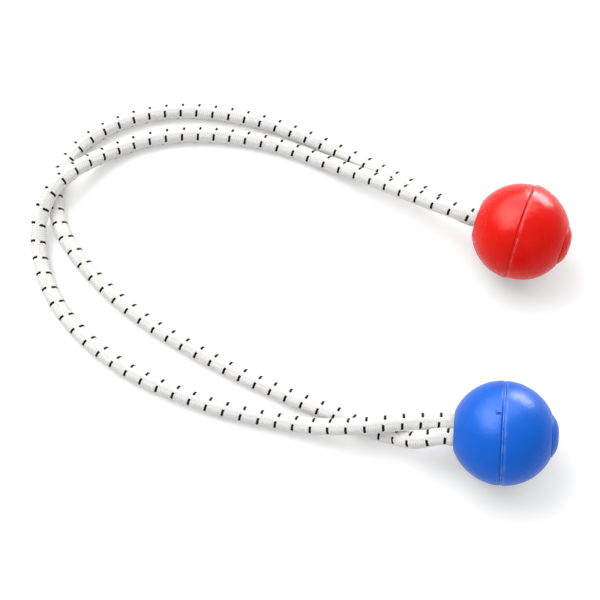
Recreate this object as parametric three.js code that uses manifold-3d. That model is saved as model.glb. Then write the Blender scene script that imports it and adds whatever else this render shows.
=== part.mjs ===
// Ball bungee: two lengths of elastic cord side by side, held at each end in a moulded ball.
// Millimetres, +Z up. The origin is on the resting surface, midway between the two balls.
import * as THREE from 'three';
import { mergeVertices } from 'three/addons/utils/BufferGeometryUtils.js';
import Module from 'manifold-3d';

const wasm = await Module();
wasm.setup();

// Elastic cord: a braided sheath over a rubber core
const CORD_DIAMETER = 5;
const SHEATH_WALL = 0.5;
const CORD_SIDES = 10;
const STRETCH_STEPS = 13;

// Clearance between pieces that touch, and the overrun of cuts and joins
const GAP = 0.3;
const OVERRUN = 0.5;

// Ball: two moulded shells welded at the equator
const BALL_DIAMETER = 30;
const SHELL_WALL = 2.2;
const SLEEVE_WALL = 1.6;
const MOUTH_ROUNDING = 0.3;
const SHOULDER_DEPTH = 5;
const LIP_WALL = 0.9;
const LIP_HEIGHT = 1.5;
const RIB_COUNT = 6;
const RIB_THICKNESS = 1.2;
const RIB_SETBACK = 1;
const BALL_SIDES = 32;
const OUTER_ARC_STEPS = 8;
const INNER_ARC_STEPS = 5;
const MOUTH_ARC_STEPS = 3;

// End cap: a domed plug with a slotted snap skirt
const CAP_STEP = 0.15;
const CAP_PROUD = 0.6;
const CAP_FLAT_DIAMETER = 3;
const CAP_EDGE_ROUNDING = 0.3;
const CAP_DISC_THICKNESS = 1.8;
const CAP_SKIRT_WALL = 0.7;
const CAP_DOME_STEPS = 6;
const CAP_DOME_POWER = 3;
const SNAP_HEIGHT = 0.35;
const SNAP_WIDTH = 1.4;
const SNAP_DEPTH = 2.4;
const SKIRT_SLOT_COUNT = 4;
const SKIRT_SLOT_WIDTH = 1.2;
const SKIRT_SLOT_LENGTH = 6;

// Ferrule: a steel strip pressed round both strands
const FERRULE_SHEET = 0.9;
const FERRULE_LENGTH = 7;
const FERRULE_WAIST_HALF_HEIGHT = 1.9;
const FERRULE_WAIST_HALF_WIDTH = 0.6;
const FERRULE_SEAM_WIDTH = 0.4;
const FERRULE_LOBE_ANGLE = THREE.MathUtils.degToRad(105);
const FERRULE_LOBE_STEPS = 8;
const WELL_CLEARANCE = 0.3;

// Cord ends in the ball: squeezed in the ferrule, cut behind it
const CRIMP_SQUEEZE = 0.4;
const CRIMP_TAPER = 1.2;
const TAIL_LENGTH = 2.5;
const CORE_STICKS_OUT = 0.4;
const END_DEPTH_IN_MOUTH = 2.2;
const END_SIDES = 12;
const STRAIGHT_OUT = 2.5;

// Resting places: centre of each ball, the heading and rise of its cap end, and the roll of its cord pair
const BLUE_BALL = { name: 'blue', x: -5.6, y: -32.5, heading: -7, rise: 8, roll: -14 };
const RED_BALL = { name: 'red', x: 4.5, y: 32.5, heading: -21.5, rise: 3, roll: 115 };

// Routes of the two strands between the balls, from blue to red
const FIRST_STRAND_ROUTE = [
  [-30.9, -27.9, 11.6], [-39.7, -28.4, 10.9], [-49.4, -28.4, 8.5], [-59.3, -27.1, 5], [-69.8, -24.8, 2.9],
  [-80.3, -22.5, 2.5], [-90.8, -19.5, 2.5], [-100.8, -15.7, 2.5], [-110.8, -11.2, 2.5], [-119.8, -5.7, 2.5],
  [-128.3, 1.2, 2.5], [-136, 9.5, 2.5], [-142.1, 19.2, 2.5], [-145.8, 30, 2.8], [-146.7, 40.7, 5.3],
  [-143.4, 50.5, 8], [-136.7, 59.4, 7.2], [-128, 67.3, 3.9], [-118.3, 72.6, 2.5], [-107.8, 75.3, 2.5],
  [-96.8, 76, 2.5], [-86.3, 75.2, 2.5], [-75.8, 73.1, 2.5], [-65.3, 69.6, 2.5], [-54.8, 64.6, 3.4],
  [-45, 58.9, 6], [-35.8, 52.7, 9.4], [-26.8, 46.3, 12.9], [-17.9, 40.9, 15.4],
];
const SECOND_STRAND_ROUTE = [
  [-30.4, -33.1, 10.3], [-36.3, -30.5, 5.8], [-44, -26.8, 3], [-52.3, -22.8, 2.5], [-61.8, -18.9, 2.5],
  [-71.3, -14.8, 2.5], [-80.8, -10.3, 2.5], [-89.8, -5.4, 2.5], [-98.8, -0.1, 2.5], [-107.8, 5.5, 2.5],
  [-116.3, 11.9, 2.5], [-124.5, 19.3, 2.5], [-132, 27.8, 2.5], [-138.4, 37.1, 2.5], [-142.1, 46.7, 2.5],
  [-142.8, 56.7, 2.5], [-139.6, 66.7, 2.5], [-133.2, 74.6, 2.5], [-124.3, 80.4, 2.5], [-114.3, 84, 2.5],
  [-103.3, 85.4, 2.5], [-92.3, 84.7, 2.5], [-81.8, 82.7, 2.5], [-71.3, 79.3, 2.5], [-60.8, 74.7, 2.5],
  [-50.8, 69.4, 2.8], [-41.6, 63.6, 4.1], [-33.4, 57.2, 6.6], [-24.9, 50.3, 9.1], [-17.2, 44.2, 10.9],
];
const STRANDS = [
  { name: 'first_strand', side: 1, route: FIRST_STRAND_ROUTE, bendStartShare: 0.295, bendEndShare: 0.655 },
  { name: 'second_strand', side: -1, route: SECOND_STRAND_ROUTE, bendStartShare: 0.305, bendEndShare: 0.655 },
];

// Sizes that follow
const CORD_RADIUS = CORD_DIAMETER / 2;
const CORE_RADIUS = CORD_RADIUS - SHEATH_WALL - GAP;
const STRAND_OFFSET = CORD_RADIUS + GAP / 2;
const BALL_RADIUS = BALL_DIAMETER / 2;
const HOLLOW_RADIUS = BALL_RADIUS - SHELL_WALL;
const MOUTH_RADIUS = STRAND_OFFSET + CORD_RADIUS + GAP;
const LOBE_RADIUS = CORD_RADIUS - CRIMP_SQUEEZE + GAP + FERRULE_SHEET / 2;
const WELL_RADIUS = STRAND_OFFSET + LOBE_RADIUS + FERRULE_SHEET / 2 + WELL_CLEARANCE;
const SLEEVE_RADIUS = WELL_RADIUS + SLEEVE_WALL;
const SEAM = GAP / 2;
const FERRULE_START = GAP - SHOULDER_DEPTH;
const FERRULE_END = FERRULE_START + FERRULE_LENGTH;
const CUT_END = FERRULE_END + TAIL_LENGTH;
const MOUTH_END = END_DEPTH_IN_MOUTH - BALL_RADIUS;
const CAP_RADIUS = WELL_RADIUS - GAP;
const CAP_RIM = heightOnBall(BALL_RADIUS, CAP_RADIUS) + CAP_STEP;
const SNAP_PLACE = CAP_RIM - CAP_STEP - SNAP_DEPTH;
const REBATE_DEPTH = LIP_HEIGHT + GAP;

// Materials
const plastic = (color) => new THREE.MeshStandardMaterial({ color, roughness: 0.38, metalness: 0 });
const MATERIALS = {
  red: () => plastic(0xe62d23),
  blue: () => plastic(0x2d6ee6),
  sheath: () => new THREE.MeshStandardMaterial({ color: 0xefede6, roughness: 0.85, metalness: 0 }),
  rubber: () => new THREE.MeshStandardMaterial({ color: 0xd8c9a4, roughness: 0.7, metalness: 0 }),
  steel: () => new THREE.MeshStandardMaterial({ color: 0xb9bcc0, roughness: 0.35, metalness: 1 }),
};

function heightOnBall(ballRadius, radius) {
  return Math.sqrt(ballRadius ** 2 - radius ** 2);
}

// Points of a circle's arc round [0, centre], as [radius, along], by the angle from the equator
function arc(centre, radius, from, to, steps) {
  const points = [];
  for (let i = 0; i <= steps; i += 1) {
    const angle = THREE.MathUtils.lerp(from, to, i / steps);
    points.push([centre[0] + radius * Math.cos(angle), centre[1] + radius * Math.sin(angle)]);
  }
  return points;
}

// A profile of [radius, along] points revolved about the ball's X axis, facing out whichever way it is drawn
function revolve(profile, sides) {
  const points = profile.map(([radius, along]) => new THREE.Vector2(radius, along));
  if (THREE.ShapeUtils.isClockWise(points)) points.reverse();
  if (points[0].x > 0) points.push(points[0].clone());
  const geometry = new THREE.LatheGeometry(points, sides);
  return closedGeometry(geometry.rotateZ(-Math.PI / 2));
}

// The same surface with its shared corners merged and its empty triangles at the axis left out
function closedGeometry(geometry) {
  const bare = geometry.clone();
  bare.deleteAttribute('normal');
  bare.deleteAttribute('uv');
  const merged = mergeVertices(bare);
  const corners = merged.index.array;
  const kept = [];
  for (let i = 0; i < corners.length; i += 3) {
    const [a, b, c] = corners.slice(i, i + 3);
    if (a !== b && b !== c && c !== a) kept.push(a, b, c);
  }
  merged.setIndex(kept);
  merged.computeVertexNormals();
  return merged;
}

function toSolid(geometry) {
  const closed = closedGeometry(geometry);
  const vertProperties = new Float32Array(closed.attributes.position.array);
  const triVerts = new Uint32Array(closed.index.array);
  return new wasm.Manifold(new wasm.Mesh({ numProp: 3, vertProperties, triVerts }));
}

function toGeometry(solid) {
  const { vertProperties, triVerts } = solid.getMesh();
  const geometry = new THREE.BufferGeometry();
  geometry.setAttribute('position', new THREE.BufferAttribute(new Float32Array(vertProperties), 3));
  geometry.setIndex(new THREE.BufferAttribute(new Uint32Array(triVerts), 1));
  geometry.computeVertexNormals();
  return geometry;
}

function namedMesh(name, geometry, material) {
  const mesh = new THREE.Mesh(geometry, material);
  mesh.name = name;
  return mesh;
}

// Radial ribs between the sleeve and the shell, from start outwards on the given side of the equator
function addRibs(shell, side, start) {
  const inner = WELL_RADIUS + SLEEVE_WALL / 2;
  const length = BALL_RADIUS - start;
  const height = BALL_RADIUS - inner;
  const envelope = toSolid(new THREE.SphereGeometry(BALL_RADIUS - SHELL_WALL / 2, BALL_SIDES, BALL_SIDES / 2));
  let solid = toSolid(shell);
  for (let i = 0; i < RIB_COUNT; i += 1) {
    const rib = new THREE.BoxGeometry(length, height, RIB_THICKNESS);
    rib.translate(side * (start + length / 2), inner + height / 2, 0);
    rib.rotateX((i * 2 * Math.PI) / RIB_COUNT);
    solid = solid.add(toSolid(rib).intersect(envelope));
  }
  return toGeometry(solid);
}

// Front shell: the rounded mouth, the throat down to the ferrule's shoulder, and the welding lip
function frontShell() {
  const roundingRadius = MOUTH_RADIUS + MOUTH_ROUNDING;
  const roundingPlace = -heightOnBall(BALL_RADIUS - MOUTH_ROUNDING, roundingRadius);
  const mouthAngle = Math.atan2(roundingPlace, roundingRadius);
  const sleeveRoot = Math.acos(SLEEVE_RADIUS / HOLLOW_RADIUS);
  const outside = arc([0, 0], BALL_RADIUS, -Math.asin(SEAM / BALL_RADIUS), mouthAngle, OUTER_ARC_STEPS);
  const mouth = arc([roundingRadius, roundingPlace], MOUTH_ROUNDING, mouthAngle, -Math.PI, MOUTH_ARC_STEPS);
  const inside = arc([0, 0], HOLLOW_RADIUS, -sleeveRoot, -Math.asin(SEAM / HOLLOW_RADIUS), INNER_ARC_STEPS);
  const profile = [
    ...outside,
    ...mouth.slice(1),
    [MOUTH_RADIUS, -SHOULDER_DEPTH],
    [WELL_RADIUS, -SHOULDER_DEPTH],
    [WELL_RADIUS, -SEAM],
    [SLEEVE_RADIUS, -SEAM],
    ...inside,
    [HOLLOW_RADIUS, LIP_HEIGHT],
    [HOLLOW_RADIUS + LIP_WALL, LIP_HEIGHT],
    [HOLLOW_RADIUS + LIP_WALL, -SEAM],
  ];
  return addRibs(revolve(profile, BALL_SIDES), -1, SEAM + RIB_SETBACK);
}

// Rear shell: the rebate over the welding lip, and the well that the cap's skirt snaps into
function rearShell() {
  const wellEdge = heightOnBall(BALL_RADIUS, WELL_RADIUS);
  const rebateRadius = HOLLOW_RADIUS + LIP_WALL + GAP;
  const sleeveRoot = Math.acos(SLEEVE_RADIUS / HOLLOW_RADIUS);
  const hollowEdge = Math.asin(REBATE_DEPTH / HOLLOW_RADIUS);
  const outside = arc(
    [0, 0],
    BALL_RADIUS,
    Math.asin(SEAM / BALL_RADIUS),
    Math.atan2(wellEdge, WELL_RADIUS),
    OUTER_ARC_STEPS,
  );
  const profile = [
    ...outside,
    [WELL_RADIUS, SNAP_PLACE + SNAP_WIDTH / 2 + SNAP_HEIGHT],
    [WELL_RADIUS + SNAP_HEIGHT, SNAP_PLACE + SNAP_WIDTH / 2],
    [WELL_RADIUS + SNAP_HEIGHT, SNAP_PLACE - SNAP_WIDTH / 2],
    [WELL_RADIUS, SNAP_PLACE - SNAP_WIDTH / 2 - SNAP_HEIGHT],
    [WELL_RADIUS, SEAM],
    [SLEEVE_RADIUS, SEAM],
    ...arc([0, 0], HOLLOW_RADIUS, sleeveRoot, hollowEdge, INNER_ARC_STEPS),
    [rebateRadius, REBATE_DEPTH],
    [rebateRadius, SEAM],
  ];
  return addRibs(revolve(profile, BALL_SIDES), 1, REBATE_DEPTH + RIB_SETBACK);
}

// End cap: dome with a small moulding flat, and a slotted skirt that traps the ferrule on its shoulder
function endCap() {
  const crown = BALL_RADIUS + CAP_PROUD;
  const flatRadius = CAP_FLAT_DIAMETER / 2;
  const edgeRadius = CAP_RADIUS - CAP_EDGE_ROUNDING;
  const skirtEnd = FERRULE_END + GAP;
  const skirtInner = CAP_RADIUS - CAP_SKIRT_WALL;
  const dome = [];
  for (let i = 0; i <= CAP_DOME_STEPS; i += 1) {
    const radius = THREE.MathUtils.lerp(flatRadius, edgeRadius, i / CAP_DOME_STEPS);
    dome.push([radius, crown - (crown - CAP_RIM) * (radius / edgeRadius) ** CAP_DOME_POWER]);
  }
  const snapTop = SNAP_PLACE + SNAP_WIDTH / 2 - GAP;
  const snapBottom = SNAP_PLACE - SNAP_WIDTH / 2 + GAP;
  const profile = [
    [0, CAP_RIM - CAP_DISC_THICKNESS],
    [skirtInner, CAP_RIM - CAP_DISC_THICKNESS],
    [skirtInner, skirtEnd],
    [CAP_RADIUS, skirtEnd],
    [CAP_RADIUS, snapBottom - SNAP_HEIGHT],
    [CAP_RADIUS + SNAP_HEIGHT, snapBottom],
    [CAP_RADIUS + SNAP_HEIGHT, snapTop],
    [CAP_RADIUS, snapTop + SNAP_HEIGHT],
    [CAP_RADIUS, CAP_RIM - CAP_EDGE_ROUNDING],
    ...dome.reverse(),
    [0, dome.at(-1)[1]],
  ];
  let solid = toSolid(revolve(profile, BALL_SIDES));
  for (let i = 0; i < SKIRT_SLOT_COUNT; i += 1) {
    const slot = new THREE.BoxGeometry(SKIRT_SLOT_LENGTH + OVERRUN, WELL_RADIUS, SKIRT_SLOT_WIDTH);
    slot.translate(skirtEnd + (SKIRT_SLOT_LENGTH - OVERRUN) / 2, (WELL_RADIUS + skirtInner) / 2, 0);
    slot.rotateX(((i + 0.5) * 2 * Math.PI) / SKIRT_SLOT_COUNT);
    solid = solid.subtract(toSolid(slot));
  }
  return toGeometry(solid);
}

// Centre line of the ferrule's strip: a lobe round each strand, drawn in at the waist, open at its seam
function ferruleLine() {
  const half = [[FERRULE_SEAM_WIDTH / 2, -FERRULE_WAIST_HALF_HEIGHT]];
  half.push([FERRULE_WAIST_HALF_WIDTH, -FERRULE_WAIST_HALF_HEIGHT]);
  for (let i = 0; i <= FERRULE_LOBE_STEPS; i += 1) {
    const angle = THREE.MathUtils.lerp(-FERRULE_LOBE_ANGLE, FERRULE_LOBE_ANGLE, i / FERRULE_LOBE_STEPS);
    half.push([STRAND_OFFSET + LOBE_RADIUS * Math.cos(angle), LOBE_RADIUS * Math.sin(angle)]);
  }
  half.push([FERRULE_WAIST_HALF_WIDTH, FERRULE_WAIST_HALF_HEIGHT]);
  const otherHalf = half.map(([across, up]) => [-across, up]).reverse();
  return [...half, ...otherHalf].map((point) => new THREE.Vector2(...point));
}

// Ferrule: the strip given its thickness about that line and its length along the ball's X axis
function ferrule() {
  const line = ferruleLine();
  const outer = [];
  const inner = [];
  line.forEach((point, i) => {
    const before = line[Math.max(i - 1, 0)];
    const after = line[Math.min(i + 1, line.length - 1)];
    const along = after.clone().sub(before).normalize();
    const across = new THREE.Vector2(along.y, -along.x).multiplyScalar(FERRULE_SHEET / 2);
    outer.push(point.clone().add(across));
    inner.push(point.clone().sub(across));
  });
  const section = new THREE.Shape([...outer, ...inner.reverse()]);
  const geometry = new THREE.ExtrudeGeometry(section, { depth: FERRULE_LENGTH, bevelEnabled: false });
  const turned = new THREE.Matrix4().makeBasis(
    new THREE.Vector3(0, 1, 0),
    new THREE.Vector3(0, 0, 1),
    new THREE.Vector3(1, 0, 0),
  );
  geometry.applyMatrix4(turned).translate(FERRULE_START, 0, 0);
  return closedGeometry(geometry);
}

// Radius along a strand's held end, drawn in where the ferrule grips it
function squeezed(radius, end) {
  return [
    [radius, MOUTH_END],
    [radius, FERRULE_START - CRIMP_TAPER],
    [radius - CRIMP_SQUEEZE, FERRULE_START],
    [radius - CRIMP_SQUEEZE, FERRULE_END],
    [radius, FERRULE_END + CRIMP_TAPER],
    [radius, end],
  ];
}

// Held end of the sheath: a tube whose bore follows its outside
function sheathEnd() {
  const outside = squeezed(CORD_RADIUS, CUT_END);
  const bore = squeezed(CORD_RADIUS - SHEATH_WALL, CUT_END);
  return revolve([...outside, ...bore.reverse()], END_SIDES);
}

// Held end of the rubber core, which stands a little out of the cut sheath
function coreEnd() {
  const end = CUT_END + CORE_STICKS_OUT;
  return revolve([[0, MOUTH_END], ...squeezed(CORE_RADIUS, end), [0, end]], END_SIDES);
}

// One ball with what it holds, its cap end along the group's +X
function ball({ name, x, y, heading, rise, roll }) {
  const group = new THREE.Group();
  const { degToRad } = THREE.MathUtils;
  group.position.set(x, y, BALL_RADIUS);
  group.rotation.set(0, -degToRad(rise), degToRad(heading), 'ZYX');
  group.add(
    namedMesh(`${name}_front_shell`, frontShell(), MATERIALS[name]()),
    namedMesh(`${name}_rear_shell`, rearShell(), MATERIALS[name]()),
    namedMesh(`${name}_end_cap`, endCap(), MATERIALS[name]()),
  );
  const pair = new THREE.Group();
  pair.rotation.x = degToRad(roll);
  pair.add(namedMesh(`${name}_ferrule`, ferrule(), MATERIALS.steel()));
  for (const strand of STRANDS) {
    const sheath = namedMesh(`${name}_${strand.name}_sheath_end`, sheathEnd(), MATERIALS.sheath());
    const core = namedMesh(`${name}_${strand.name}_core_end`, coreEnd(), MATERIALS.rubber());
    sheath.position.y = strand.side * STRAND_OFFSET;
    core.position.y = strand.side * STRAND_OFFSET;
    pair.add(sheath, core);
  }
  group.add(pair);
  group.userData.pair = pair;
  return group;
}

// Route of a strand from ball to ball: straight out of each mouth, and nowhere below the surface it lies on
class StrandRoute extends THREE.Curve {
  constructor(strand, blueBall, redBall) {
    super();
    const atMouth = (ballGroup, along) => {
      const place = new THREE.Vector3(along, strand.side * STRAND_OFFSET, 0);
      return ballGroup.userData.pair.localToWorld(place);
    };
    const inside = MOUTH_END - GAP;
    const outside = -BALL_RADIUS - STRAIGHT_OUT;
    this.curve = new THREE.CatmullRomCurve3([
      atMouth(blueBall, inside),
      atMouth(blueBall, outside),
      ...strand.route.map((point) => new THREE.Vector3(...point)),
      atMouth(redBall, outside),
      atMouth(redBall, inside),
    ]);
  }

  getPoint(share, target = new THREE.Vector3()) {
    this.curve.getPoint(share, target);
    target.z = Math.max(target.z, CORD_RADIUS);
    return target;
  }
}

// Part of a route between two shares of its length
class Stretch extends THREE.Curve {
  constructor(route, start, end) {
    super();
    this.route = route;
    this.start = start;
    this.end = end;
  }

  getPoint(share, target = new THREE.Vector3()) {
    return this.route.getPointAt(THREE.MathUtils.lerp(this.start, this.end, share), target);
  }
}

// The free length of a strand in three stretches: the arm to each ball and the bend between them
function freeStretches(strand, blueBall, redBall) {
  const route = new StrandRoute(strand, blueBall, redBall);
  const length = route.getLength();
  const halfGap = GAP / 2 / length;
  const section = [];
  for (let i = 0; i < CORD_SIDES; i += 1) {
    const angle = (i * 2 * Math.PI) / CORD_SIDES;
    section.push(new THREE.Vector2(Math.cos(angle), Math.sin(angle)).multiplyScalar(CORD_RADIUS));
  }
  const { bendStartShare, bendEndShare } = strand;
  const stretches = {
    blue_arm: [0, bendStartShare - halfGap],
    bend: [bendStartShare + halfGap, bendEndShare - halfGap],
    red_arm: [bendEndShare + halfGap, 1],
  };
  return Object.entries(stretches).map(([name, [start, end]]) => {
    const extrudePath = new Stretch(route, start, end);
    const settings = { steps: STRETCH_STEPS, extrudePath, bevelEnabled: false };
    const geometry = new THREE.ExtrudeGeometry(new THREE.Shape(section), settings);
    return namedMesh(`${strand.name}_${name}`, closedGeometry(geometry), MATERIALS.sheath());
  });
}

const bungee = new THREE.Group();
const blueBall = ball(BLUE_BALL);
const redBall = ball(RED_BALL);
bungee.add(blueBall, redBall);
bungee.updateMatrixWorld(true);
for (const strand of STRANDS) bungee.add(...freeStretches(strand, blueBall, redBall));

export default bungee;
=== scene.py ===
import math

import bmesh
import bpy
import numpy as np
from mathutils import Matrix, Vector, noise


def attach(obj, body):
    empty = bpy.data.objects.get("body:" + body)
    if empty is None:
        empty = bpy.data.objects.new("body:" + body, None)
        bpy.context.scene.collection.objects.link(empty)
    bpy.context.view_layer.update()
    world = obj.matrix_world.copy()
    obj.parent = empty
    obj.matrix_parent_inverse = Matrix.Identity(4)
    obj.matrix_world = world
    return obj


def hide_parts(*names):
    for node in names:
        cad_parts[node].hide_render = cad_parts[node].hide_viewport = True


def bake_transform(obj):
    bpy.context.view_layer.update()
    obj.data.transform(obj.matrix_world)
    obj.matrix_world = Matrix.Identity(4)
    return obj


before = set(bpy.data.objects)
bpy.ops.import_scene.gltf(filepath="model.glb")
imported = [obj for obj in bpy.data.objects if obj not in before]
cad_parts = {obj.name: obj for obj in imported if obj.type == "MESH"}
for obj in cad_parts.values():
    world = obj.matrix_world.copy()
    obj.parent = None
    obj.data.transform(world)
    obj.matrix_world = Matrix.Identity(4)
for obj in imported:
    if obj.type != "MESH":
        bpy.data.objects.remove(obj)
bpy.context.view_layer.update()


# The photograph looks down on the loop from in front, 65 degrees below the horizon, through a long lens.
# Colours are shown as they are, with no film look.
VIEW_DROP = math.radians(65)
VIEW_LENS_MM = 70.48
VIEW_SENSOR_MM = 36
VIEW_FROM = (-0.0635, -0.1397, 0.3346)

camera = bpy.data.objects.new("camera", bpy.data.cameras.new("camera"))
camera.data.lens = VIEW_LENS_MM
camera.data.sensor_width = VIEW_SENSOR_MM
camera.location = VIEW_FROM
camera.rotation_euler = (math.pi / 2 - VIEW_DROP, 0, 0)
bpy.context.scene.collection.objects.link(camera)
bpy.context.scene.camera = camera
bpy.context.scene.view_settings.view_transform = "Standard"


# Where the balls rest. Each ball's own axis points from its cord mouth to its end cap, and the two strands
# lie side by side across it, turned about it by the roll.
BALL_RADIUS = 0.015
STRAND_OFFSET = 0.00265
BALLS = {
    "blue": {"centre": (-0.0056, -0.0325, 0.015), "heading": -7, "rise": 8, "roll": -14},
    "red": {"centre": (0.0045, 0.0325, 0.015), "heading": -21.5, "rise": 3, "roll": 115},
}


def ball_place(ball, rolled=False):
    """The matrix that takes a ball's own frame to the table's."""
    place = Matrix.Translation(ball["centre"])
    place = place @ Matrix.Rotation(math.radians(ball["heading"]), 4, "Z")
    place = place @ Matrix.Rotation(math.radians(-ball["rise"]), 4, "Y")
    if rolled:
        place = place @ Matrix.Rotation(math.radians(ball["roll"]), 4, "X")
    return place


# Cord: two equal lengths of 5 mm shock cord, a tight polyester braid over a bundle of latex strands. Both
# run from ball to ball, and the ferrules inside squeeze their cut ends. Rings are where every second turn of
# the tracer yarn shows, along the strand from the blue ball's mouth.
# The crests of the yarns stand a little further out, so that the cord as seen is as thick as its size.
CORD_RADIUS = 0.00257
CORE_RADIUS = 0.00178
MOUTH_DEPTH = 0.0131
STRAIGHT_OUT = 0.0175
HELD_LENGTH = 0.0179
SQUEEZE_SHARE = 0.815
SQUEEZE_PLACES = (-0.0059, -0.0047, 0.0023, 0.0035)
CUT_END = 0.0048
STRANDS = {
    "first_strand": {
        "side": 1,
        "cuts": (0.295, 0.655),
        "rings": (
            -0.0162, -0.0054, 0.0053, 0.0160, 0.0265, 0.0373, 0.0483, 0.0592, 0.0699, 0.0805,
            0.0911, 0.1018, 0.1123, 0.1234, 0.1346, 0.1459, 0.1574, 0.1688, 0.1801, 0.1914,
            0.2030, 0.2143, 0.2254, 0.2361, 0.2468, 0.2581, 0.2693, 0.2813, 0.2935, 0.3052,
            0.3169, 0.3284, 0.3400, 0.3516, 0.3631,
        ),
        "tracer_angles": (-21, 4),
        "route": [
            (-0.0309, -0.0279, 0.0116), (-0.0397, -0.0284, 0.0109), (-0.0494, -0.0284, 0.0085),
            (-0.0593, -0.0271, 0.0050), (-0.0698, -0.0248, 0.0029), (-0.0803, -0.0225, 0.0025),
            (-0.0908, -0.0195, 0.0025), (-0.1008, -0.0157, 0.0025), (-0.1108, -0.0112, 0.0025),
            (-0.1198, -0.0057, 0.0025), (-0.1283, 0.0012, 0.0025), (-0.1360, 0.0095, 0.0025),
            (-0.1421, 0.0192, 0.0025), (-0.1458, 0.0300, 0.0028), (-0.1467, 0.0407, 0.0053),
            (-0.1434, 0.0505, 0.0080), (-0.1367, 0.0594, 0.0072), (-0.1280, 0.0673, 0.0039),
            (-0.1183, 0.0726, 0.0025), (-0.1078, 0.0753, 0.0025), (-0.0968, 0.0760, 0.0025),
            (-0.0863, 0.0752, 0.0025), (-0.0758, 0.0731, 0.0025), (-0.0653, 0.0696, 0.0025),
            (-0.0548, 0.0646, 0.0034), (-0.0450, 0.0589, 0.0060), (-0.0358, 0.0527, 0.0094),
            (-0.0268, 0.0463, 0.0129), (-0.0179, 0.0409, 0.0154),
        ],
    },
    "second_strand": {
        "side": -1,
        "cuts": (0.305, 0.655),
        "rings": (
            -0.0174, -0.0073, 0.0029, 0.0133, 0.0235, 0.0339, 0.0442, 0.0545, 0.0646, 0.0748,
            0.0850, 0.0955, 0.1058, 0.1165, 0.1273, 0.1387, 0.1502, 0.1609, 0.1707, 0.1809,
            0.1917, 0.2026, 0.2135, 0.2244, 0.2355, 0.2465, 0.2576, 0.2688, 0.2801, 0.2915,
            0.3026, 0.3137, 0.3248, 0.3360, 0.3473,
        ),
        "tracer_angles": (-21, 4),
        "route": [
            (-0.0304, -0.0331, 0.0103), (-0.0363, -0.0305, 0.0058), (-0.0440, -0.0268, 0.0030),
            (-0.0523, -0.0228, 0.0025), (-0.0618, -0.0189, 0.0025), (-0.0713, -0.0148, 0.0025),
            (-0.0808, -0.0103, 0.0025), (-0.0898, -0.0054, 0.0025), (-0.0988, -0.0001, 0.0025),
            (-0.1078, 0.0055, 0.0025), (-0.1163, 0.0119, 0.0025), (-0.1245, 0.0193, 0.0025),
            (-0.1320, 0.0278, 0.0025), (-0.1384, 0.0371, 0.0025), (-0.1421, 0.0467, 0.0025),
            (-0.1428, 0.0567, 0.0025), (-0.1396, 0.0667, 0.0025), (-0.1332, 0.0746, 0.0025),
            (-0.1243, 0.0804, 0.0025), (-0.1143, 0.0840, 0.0025), (-0.1033, 0.0854, 0.0025),
            (-0.0923, 0.0847, 0.0025), (-0.0818, 0.0827, 0.0025), (-0.0713, 0.0793, 0.0025),
            (-0.0608, 0.0747, 0.0025), (-0.0508, 0.0694, 0.0028), (-0.0416, 0.0636, 0.0041),
            (-0.0334, 0.0572, 0.0066), (-0.0249, 0.0503, 0.0091), (-0.0172, 0.0442, 0.0109),
        ],
    },
}
RINGS_APART = 2
SAMPLES_PER_TURN = 32
YARNS_EACH_WAY = 8
YARN_WIDTH = 0.00082
YARN_THICKNESS = 0.00034
YARN_SNAKE = 0.00014
YARN_STEEPNESS = 1.8
SHEATH_SKEW = 0.0004
POINTS_BETWEEN = 24


def smooth_route(points):
    """A centripetal Catmull-Rom curve through the points, as close-set points."""
    points = [Vector(point) for point in points]
    curve = []
    for i in range(len(points) - 1):
        b, c = points[i], points[i + 1]
        a = points[i - 1] if i else 2 * b - c
        d = points[i + 2] if i + 2 < len(points) else 2 * c - b
        ab, bc, cd = ((q - p).length ** 0.5 for p, q in ((a, b), (b, c), (c, d)))
        leave = ((b - a) / ab - (c - a) / (ab + bc) + (c - b) / bc) * bc
        arrive = ((c - b) / bc - (d - b) / (bc + cd) + (d - c) / cd) * bc
        for k in range(POINTS_BETWEEN):
            t = k / POINTS_BETWEEN
            place = (2 * t**3 - 3 * t**2 + 1) * b + (t**3 - 2 * t**2 + t) * leave
            place += (3 * t**2 - 2 * t**3) * c + (t**3 - t**2) * arrive
            place.z = max(place.z, CORD_RADIUS)
            curve.append(place)
    return np.array([*curve, points[-1]])


def strand_line(strand):
    """The strand's centreline from cut end to cut end, and the length along it from the blue ball's mouth."""
    def held(ball, along):
        return ball_place(BALLS[ball], rolled=True) @ Vector((along, strand["side"] * STRAND_OFFSET, 0))
    free = smooth_route([
        held("blue", -MOUTH_DEPTH), held("blue", -STRAIGHT_OUT),
        *strand["route"],
        held("red", -STRAIGHT_OUT), held("red", -MOUTH_DEPTH),
    ])
    line = np.array([held("blue", CUT_END), *free, held("red", CUT_END)])
    along = np.concatenate([[0], np.cumsum(np.linalg.norm(np.diff(line, axis=0), axis=1))])
    along -= along[1]
    return line, along, along[-2]


def add_node(tree, kind, sockets=None, **settings):
    """A node with its settings, and each named or numbered input set or linked."""
    node = tree.nodes.new(kind)
    for name, value in settings.items():
        setattr(node, name, value)
    for key, value in (sockets or {}).items():
        if isinstance(value, bpy.types.NodeSocket):
            tree.links.new(value, node.inputs[key])
        else:
            node.inputs[key].default_value = value
    return node


def maths(tree, operation, *values):
    """One sum on numbers. Geometry and shader trees share it."""
    return add_node(tree, "ShaderNodeMath", dict(enumerate(values)), operation=operation).outputs[0]


def vectors(tree, operation, *values, scale=None):
    """One sum on vectors."""
    sockets = dict(enumerate(values))
    if scale is not None:
        sockets["Scale"] = scale
    node = add_node(tree, "ShaderNodeVectorMath", sockets, operation=operation)
    return node.outputs["Value" if operation in ("DOT_PRODUCT", "LENGTH") else "Vector"]


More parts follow.
